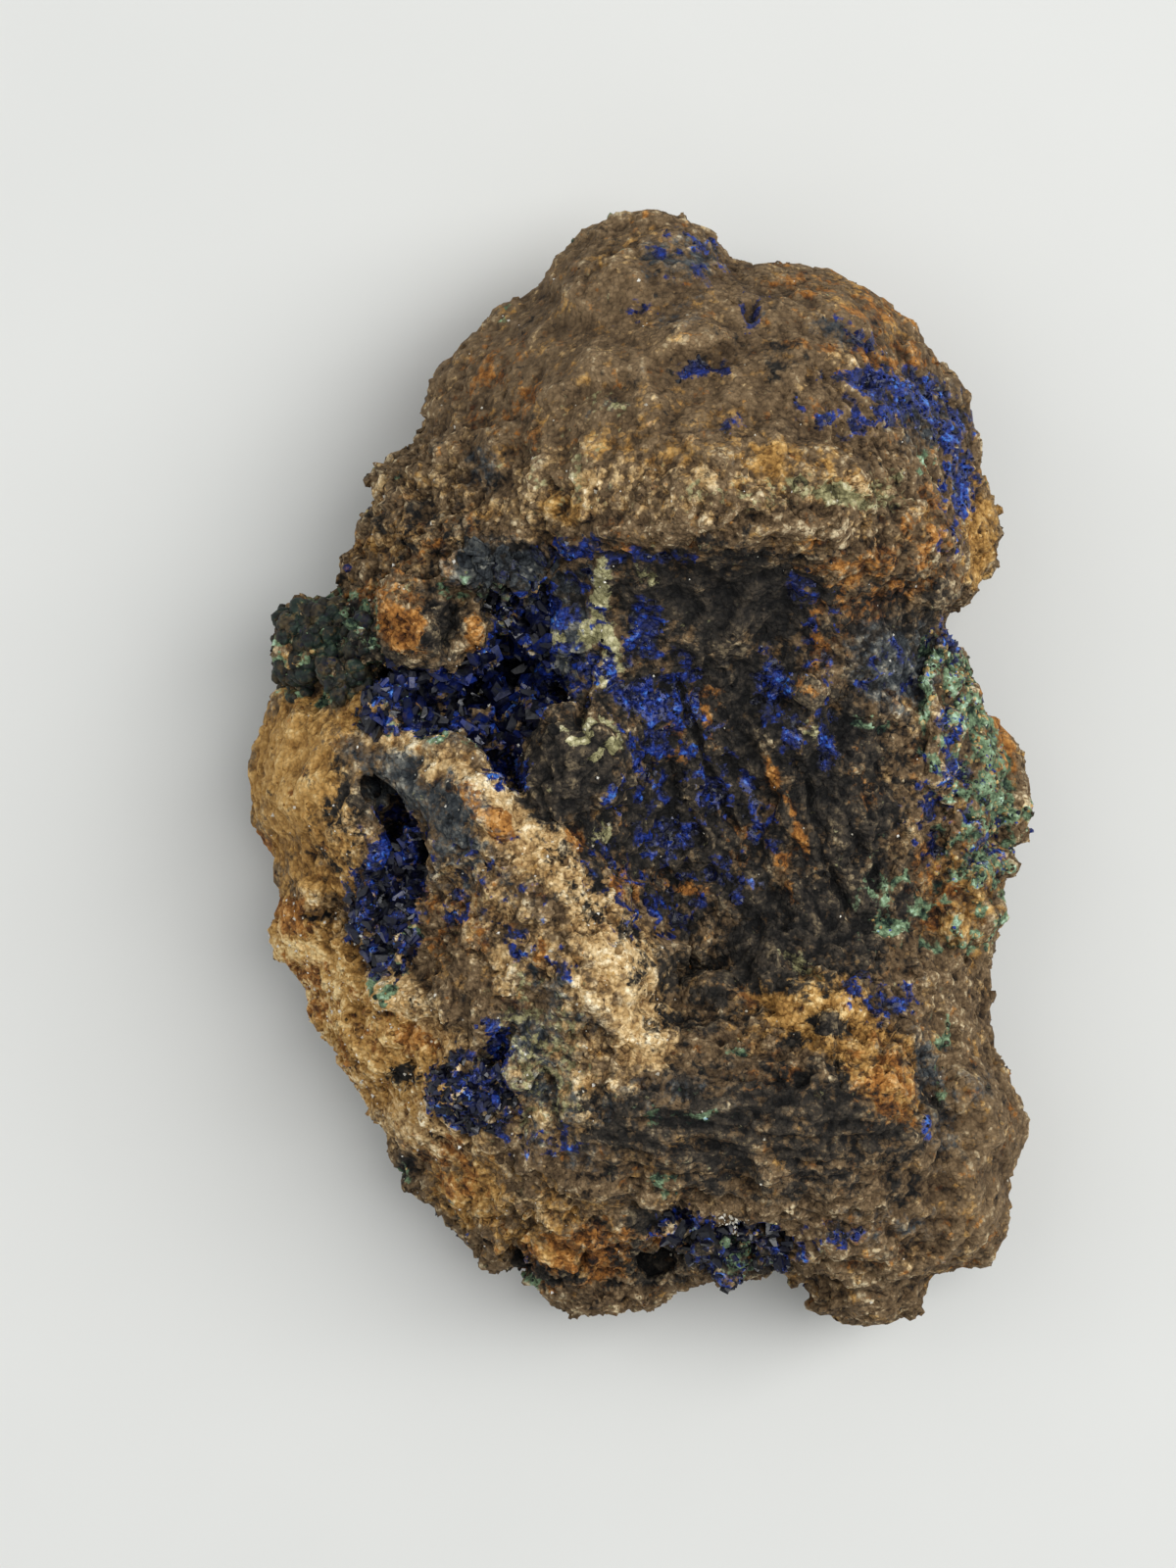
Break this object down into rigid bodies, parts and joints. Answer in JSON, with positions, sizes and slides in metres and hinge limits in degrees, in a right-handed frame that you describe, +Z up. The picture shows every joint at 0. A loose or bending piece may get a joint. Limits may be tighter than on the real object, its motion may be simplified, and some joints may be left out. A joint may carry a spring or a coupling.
{
  "type": "azurite and malachite specimen",
  "caption": "Rough hand specimen of rusty sandy stone with dark blue azurite crystals in its hollows and green malachite crusts on its flanks, lying on its broken base.",
  "frame": {"origin": "centre of the bounding box in plan, at the level of the surface the specimen lies on", "axes": "+Z up from the resting surface, +Y along the specimen towards its high rounded lobe, +X to the side with the malachite-crusted flank"},
  "size_m": [0.0646, 0.0912, 0.038],
  "materials": {
    "rock": "rough, granular",
    "azurite": "glassy crystal faces",
    "malachite": "satin, knobbly"
  },
  "bodies": {
    "root": {"matrix": "rock", "vug_azurite": "azurite", "crevice_azurite": "azurite", "pocket_azurite": "azurite", "rim_azurite": "azurite", "flank_malachite": "malachite", "left_malachite": "malachite"}
  },
  "joints": []
}
